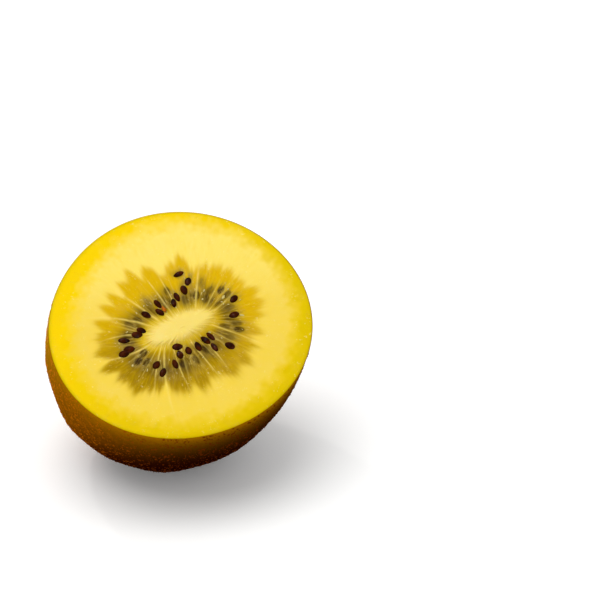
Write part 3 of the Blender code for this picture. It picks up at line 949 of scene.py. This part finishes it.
def scatter(count, seed):
    """Places spread evenly by area over the skin: angle and slope, from the growth of area with slope."""
    draw = np.random.default_rng(seed)
    slope = np.linspace(0.005, math.pi / 2 - 0.18, 400)
    depth = np.sin(slope) ** (2 / FULLNESS)
    radius = np.cos(slope)
    run = np.hypot(np.gradient(depth * HALF_LENGTH), np.gradient(radius * CUT_RADIUS))
    area = np.cumsum(radius * run)
    return draw.uniform(0, FULL_TURN, count), np.interp(draw.uniform(0, area[-1], count), area, slope), draw


def skin_spots(angle, slope, floor):
    """Points of the skin above a floor, two directions along it and its normal, in the frame's axes. The
    directions come from small steps of angle and slope."""
    small = 1e-3
    here = settle(skin_place(angle, slope, 0.0))
    around = settle(skin_place(angle + small, slope, 0.0)) - here
    down = settle(skin_place(angle, slope + small, 0.0)) - here
    around /= np.linalg.norm(around, axis=-1, keepdims=True)
    normal = np.cross(down, around)
    normal /= np.linalg.norm(normal, axis=-1, keepdims=True)
    clear = here[:, 2] > floor
    return [values[clear] for values in (here, around, np.cross(normal, around), normal)]


def cork_material(skin):
    """Dots of dry cork that burst through the skin: matt, orange to rust, and painted browner and darker
    where the skin's painted shade is.
    """
    material, tree, shader = new_material("cork_dots", Roughness=0.7, Specular_IOR_Level=0.0)
    place = add_node(tree, "ShaderNodeTexCoord").outputs["Object"]
    brown = add_node(tree, "ShaderNodeAttribute", attribute_name="brown").outputs["Fac"]
    shade = add_node(tree, "ShaderNodeAttribute", attribute_name="shade").outputs["Fac"]
    rust = grain(tree, place, 2.5, 1, 0.35, 0.65)
    paint(tree, shader, skin.dot, ((skin.dot_rust, rust), (skin.dot_painted_brown, brown), (skin.dot_painted_shade, shade)))
    return material


def add_dots(skin):
    """Raised dots on the skin, each a low closed dome, longer one way than the other, its foot in the skin: a
    profile of reach and height turned round six sides."""
    sides = 6
    profile = np.array(((0.0, -0.35), (1.0, -0.2), (0.72, 0.24), (0.0, 0.4)))
    angle, slope, draw = scatter(skin.dots, 71)
    here, around, down, normal = skin_spots(angle, slope, DOT_FLOOR)
    count = len(here)
    size = skin.dot_radius * draw.lognormal(0, 0.42, (count, 1, 1)).clip(0.4, 2.3)
    stretch = draw.uniform(1.0, 1.6, (count, 1, 1))
    spin = draw.uniform(0, FULL_TURN, (count, 1, 1))
    turn = np.arange(sides) * (FULL_TURN / sides)
    far = profile[1:-1, 0][None, :, None] * np.ones(sides)
    up = profile[1:-1, 1][None, :, None] * np.ones(sides) * size
    long, wide = far * np.cos(turn) * stretch, far * np.sin(turn)
    east = (long * np.cos(spin) - wide * np.sin(spin)) * size
    south = (long * np.sin(spin) + wide * np.cos(spin)) * size
    rings = (
        here[:, None, None] + east[..., None] * around[:, None, None] + south[..., None] * down[:, None, None]
        + up[..., None] * normal[:, None, None]
    )
    foot, top = (here[:, None] + profile[k, 1] * size * normal[:, None] for k in (0, -1))
    points = np.concatenate((foot, rings.reshape(count, -1, 3), top), axis=1)
    points[..., 2] = np.maximum(points[..., 2], 0)
    faces = repeat_faces([face[::-1] for face in ring_faces(2, sides)], points.shape[1], count)
    # Painted shade for the dots, the same as on the skin.
    values = dict(zip(("brown", "shade"), shade_fields(points.reshape(-1, 3))))
    add_piece("skin_dots", points, faces, cork_material(skin), values)


def spikes(here, normal, aside, long, radius):
    """Closed three-sided spikes in two stretches: each stands up from its foot in the skin and bends over to
    one side."""
    across = np.cross(normal, aside)
    turn = np.arange(3) * (FULL_TURN / 3)
    spoke = across[:, None] * np.cos(turn)[:, None] + aside[:, None] * np.sin(turn)[:, None]
    middle = here + long * (0.45 * normal + 0.25 * aside)
    tip = here + long * (0.7 * normal + 0.8 * aside)
    foot = here[:, None] - 0.05 * MM * normal[:, None] + spoke * radius
    bend = middle[:, None] + spoke * radius * 0.7
    points = np.concatenate((here[:, None] - 0.06 * MM * normal[:, None], foot, bend, tip[:, None]), axis=1)
    points[..., 2] = np.maximum(points[..., 2], 0)
    return points, repeat_faces([face[::-1] for face in ring_faces(2, 3)], points.shape[1], len(here))


def hair_material(skin):
    """Short hairs, dry and dead: matt brown fuzz that only shows against the light."""
    material, _, _ = new_material(
        "dry_hairs", Base_Color=opaque(skin.hair), Roughness=0.7, Specular_IOR_Level=0.0,
    )
    return material


def add_hairs(skin):
    """Short dry hairs, few and thin as on a ripe golden kiwi, each bent over to a side of its own."""
    angle, slope, draw = scatter(skin.hairs, 81)
    here, around, down, normal = skin_spots(angle, slope, HAIR_FLOOR)
    long = skin.hair_length * draw.uniform(0.5, 1.4, (len(here), 1))
    heading = draw.uniform(0, FULL_TURN, (len(here), 1))
    aside = around * np.cos(heading) + down * np.sin(heading)
    points, faces = spikes(here, normal, aside, long, HAIR_RADIUS)
    add_piece("skin_hairs", points, faces, hair_material(skin))


def stalk_material(skin):
    """Dry broken wood of the stalk: matt, pale brown with darker streaks."""
    material, tree, shader = new_material("dry_stalk_wood", Roughness=0.75, Specular_IOR_Level=0.15)
    place = add_node(tree, "ShaderNodeTexCoord").outputs["Object"]
    streaks = grain(tree, place, 0.556, 3, 0.35, 0.65, 0.0, 0.8)
    paint(tree, shader, skin.wood, ((skin.felt, streaks),))
    return material


def add_stem_button(skin):
    """The stump of the stalk: a disc of rings that follows the scar, with grooves that run out from a pith
    hole, and an edge that goes down into the fruit."""
    sides = 120
    angle = np.arange(sides) * (FULL_TURN / sides)
    radius = np.concatenate((np.linspace(0.03, 1, 16), (0.98, 0.9)))[:, None] * STUMP_RADIUS
    grooves = STUMP_GROOVE * round_waves(angle, 14, 40, 91) * np.minimum(radius / MM, 1)
    high = STUMP_RISE + grooves - PITH_DEPTH * np.exp(-((radius / PITH_RADIUS) ** 2))
    high[-2:] = STUMP_FOOT
    rings = skin_place(angle[None, :], np.arccos(radius / CUT_RADIUS), -high)
    top, end = (rings[k].mean(axis=0, keepdims=True) for k in (0, -1))
    points = settle(np.concatenate((top, rings.reshape(-1, 3), end)), 0.05 * MM)
    faces = [face[::-1] for face in ring_faces(len(radius), sides)]
    add_piece("stem_button", points, faces, stalk_material(skin))


def felt_material(skin):
    """Rust felt of dead hairs: quite matt, so that it reads as a dark soft ring."""
    material, _, _ = new_material(
        "rust_felt", Base_Color=opaque(skin.felt), Roughness=0.9, Specular_IOR_Level=0.05,
    )
    return material


def add_stem_felt(skin):
    """Felt round the stump: fibres spread over a ring, most of them combed away from the stem."""
    draw = np.random.default_rng(95)
    angle = draw.uniform(0, FULL_TURN, skin.felt_fibres)
    slope = np.arccos(draw.uniform(*FELT_RING, skin.felt_fibres) / CUT_RADIUS)
    here, around, down, normal = skin_spots(angle, slope, FELT_FLOOR)
    heading = draw.normal(0, 0.8, (len(here), 1))
    aside = around * np.sin(heading) - down * np.cos(heading)
    long = draw.uniform(0.3, 0.8, (len(here), 1)) * MM
    points, faces = spikes(here, normal, aside, long, FELT_RADIUS)
    add_piece("stem_felt", points, faces, felt_material(skin))


def table_material(stage):
    """White table in full light: matt, and lit a little from within, so that it burns out to white."""
    material, _, _ = new_material(
        "lit_white_table", Base_Color=opaque(stage.floor), Roughness=0.7, Emission_Color=(1.0, 1.0, 1.0, 1.0),
        Emission_Strength=stage.floor_glow,
    )
    return material


def add_table(stage):
    """A flat white table, 6 m wide, at the height on which the fruit lies."""
    reach = 3.0
    corners = ((-reach, -reach, 0), (reach, -reach, 0), (reach, reach, 0), (-reach, reach, 0))
    mesh = bpy.data.meshes.new("floor")
    mesh.from_pydata(corners, [], ((0, 1, 2, 3),))
    mesh.materials.append(table_material(stage))
    floor = bpy.data.objects.new("floor", mesh)
    bpy.context.scene.collection.objects.link(floor)


def add_sky(stage):
    """A white sky, brightest overhead, so that the fruit's sides are darker than its cut."""
    world = bpy.data.worlds.new("sky")
    world.use_nodes = True
    tree = world.node_tree
    look = add_node(tree, "ShaderNodeTexCoord").outputs["Generated"]
    height = add_node(tree, "ShaderNodeSeparateXYZ", {}, {0: look}).outputs["Z"]
    limits = {"From Min": 0, "From Max": 0.7, "To Min": stage.horizon, "To Max": stage.sky}
    level = add_node(tree, "ShaderNodeMapRange", limits, {"Value": height}).outputs["Result"]
    tree.nodes["Background"].inputs["Color"].default_value = (1, 1, 1, 1)
    tree.links.new(level, tree.nodes["Background"].inputs["Strength"])
    bpy.context.scene.world = world


def add_lamp(name, size, power, place):
    """A round lamp that looks at the middle of the table."""
    light = bpy.data.lights.new(name, "AREA")
    light.shape = "DISK"
    light.size = size
    light.energy = power
    lamp = bpy.data.objects.new(name, light)
    lamp.location = place
    lamp.rotation_euler = (-Vector(place)).to_track_quat("-Z", "Y").to_euler()
    bpy.context.scene.collection.objects.link(lamp)


def add_camera(stage):
    """The camera looks along the view's direction and is moved sideways and up, so that the middle of the cut
    comes to its own pixels."""
    back = Vector((
        math.sin(VIEW_AZIMUTH) * math.cos(VIEW_HEIGHT), -math.cos(VIEW_AZIMUTH) * math.cos(VIEW_HEIGHT),
        math.sin(VIEW_HEIGHT),
    ))
    right = Vector((math.cos(VIEW_AZIMUTH), math.sin(VIEW_AZIMUTH), 0))
    up = back.cross(right)
    pixel_size = VIEW_DISTANCE * SENSOR / (stage.lens * VIEW_PIXELS)
    place = Vector(settle(np.zeros(3))) + back * VIEW_DISTANCE
    place += right * (VIEW_PIXELS / 2 - CUT_PIXEL_X) * pixel_size
    place += up * (CUT_PIXEL_Y - VIEW_PIXELS / 2) * pixel_size
    data = bpy.data.cameras.new("camera")
    data.lens = stage.lens
    data.sensor_width = SENSOR
    camera = bpy.data.objects.new("camera", data)
    camera.matrix_world = Matrix.Translation(place) @ Matrix((right, up, back)).transposed().to_4x4()
    bpy.context.scene.collection.objects.link(camera)
    bpy.context.scene.camera = camera


def add_stage(stage):
    """The lit white table, the sky, a wide lamp overhead for soft light, a small one behind for the glints on
    the wet film, and the camera."""
    bpy.context.scene.view_settings.view_transform = "Standard"
    add_table(stage)
    add_sky(stage)
    add_lamp("key", KEY_WIDTH, stage.key_power, KEY_PLACE)
    add_lamp("glint", GLINT_WIDTH, stage.glint_power, GLINT_PLACE)
    add_camera(stage)


class KIWI_OT_flesh(bpy.types.Operator):
    """Build the cut flesh with its core, rays and star"""

    bl_idname = "kiwi.flesh"
    bl_label = "Flesh"

    def execute(self, context):
        add_flesh(context.scene.kiwi_cut, context.scene.kiwi_skin)
        return {"FINISHED"}


class KIWI_OT_seeds(bpy.types.Operator):
    """Build the seeds that show in the cut"""

    bl_idname = "kiwi.seeds"
    bl_label = "Seeds"

    def execute(self, context):
        add_seeds(context.scene.kiwi_cut)
        return {"FINISHED"}


class KIWI_OT_bits(bpy.types.Operator):
    """Build the loose bits of torn flesh and seed coat on the cut"""

    bl_idname = "kiwi.bits"
    bl_label = "Loose bits"

    def execute(self, context):
        add_flesh_bits(context.scene.kiwi_cut)
        add_seed_scrap(context.scene.kiwi_cut)
        return {"FINISHED"}


class KIWI_OT_skin(bpy.types.Operator):
    """Build the thin skin with its stem scar"""

    bl_idname = "kiwi.skin"
    bl_label = "Skin"

    def execute(self, context):
        add_skin(context.scene.kiwi_skin)
        return {"FINISHED"}


class KIWI_OT_dots(bpy.types.Operator):
    """Build the raised dots on the skin"""

    bl_idname = "kiwi.dots"
    bl_label = "Skin dots"

    def execute(self, context):
        add_dots(context.scene.kiwi_skin)
        return {"FINISHED"}


class KIWI_OT_hairs(bpy.types.Operator):
    """Build the short hairs on the skin"""

    bl_idname = "kiwi.hairs"
    bl_label = "Skin hairs"

    def execute(self, context):
        add_hairs(context.scene.kiwi_skin)
        return {"FINISHED"}


class KIWI_OT_stem_end(bpy.types.Operator):
    """Build the stump of the stalk and the felt round it"""

    bl_idname = "kiwi.stem_end"
    bl_label = "Stem end"

    def execute(self, context):
        add_stem_button(context.scene.kiwi_skin)
        add_stem_felt(context.scene.kiwi_skin)
        return {"FINISHED"}


class KIWI_OT_stage(bpy.types.Operator):
    """Set the table, lights and camera"""

    bl_idname = "kiwi.stage"
    bl_label = "Stage"

    def execute(self, context):
        add_stage(context.scene.kiwi_stage)
        return {"FINISHED"}


OPERATORS = (
    KIWI_OT_stage, KIWI_OT_flesh, KIWI_OT_seeds, KIWI_OT_bits, KIWI_OT_skin, KIWI_OT_dots, KIWI_OT_hairs,
    KIWI_OT_stem_end,
)


class KIWI_PT_panel(bpy.types.Panel):
    """Lists the steps that build the fruit"""

    bl_idname = "KIWI_PT_panel"
    bl_label = "Golden kiwi half"
    bl_space_type = "VIEW_3D"
    bl_region_type = "UI"
    bl_category = "Kiwi"

    def draw(self, context):
        for operator in OPERATORS:
            self.layout.operator(operator.bl_idname)


SETTINGS = (("kiwi_cut", KiwiCutSettings), ("kiwi_skin", KiwiSkinSettings), ("kiwi_stage", KiwiStageSettings))


def register():
    """Register the settings, the operators and the panel."""
    for name, group in SETTINGS:
        bpy.utils.register_class(group)
        setattr(bpy.types.Scene, name, PointerProperty(type=group))
    for made in (*OPERATORS, KIWI_PT_panel):
        bpy.utils.register_class(made)


def unregister():
    """Take back all that register() did."""
    for made in (KIWI_PT_panel, *reversed(OPERATORS)):
        bpy.utils.unregister_class(made)
    for name, group in reversed(SETTINGS):
        delattr(bpy.types.Scene, name)
        bpy.utils.unregister_class(group)


def main():
    """Register the add-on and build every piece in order."""
    register()
    bpy.ops.kiwi.stage()
    bpy.ops.kiwi.flesh()
    bpy.ops.kiwi.seeds()
    bpy.ops.kiwi.bits()
    bpy.ops.kiwi.skin()
    bpy.ops.kiwi.dots()
    bpy.ops.kiwi.hairs()
    bpy.ops.kiwi.stem_end()


if __name__ == "__main__":
    main()
